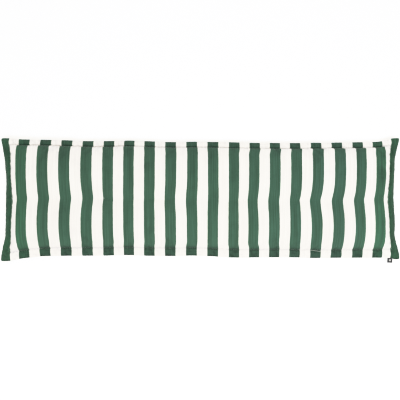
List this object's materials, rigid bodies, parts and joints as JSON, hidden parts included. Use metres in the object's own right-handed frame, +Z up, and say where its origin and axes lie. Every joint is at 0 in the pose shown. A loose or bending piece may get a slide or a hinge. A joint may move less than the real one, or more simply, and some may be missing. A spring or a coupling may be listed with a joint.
{
  "type": "bench cushion",
  "caption": "Long flat outdoor bench cushion with a sewn flat border, drawn-in sides, a tufted lengthwise valley and a small side tab.",
  "frame": {"origin": "middle of the base of the whole part's box, on the surface that the cushion lies on", "axes": "+X along the length, +Y across towards the far long edge, +Z up through the thickness"},
  "size_m": [1.5002, 0.4698, 0.0545],
  "materials": {
    "striped_cloth": "matte plain weave in green and off-white block stripes across the width",
    "woven_tab": "matte fine woven tape with a plain pale square"
  },
  "bodies": {
    "root": {"cushion": "striped_cloth", "side_label": "woven_tab"}
  },
  "joints": []
}
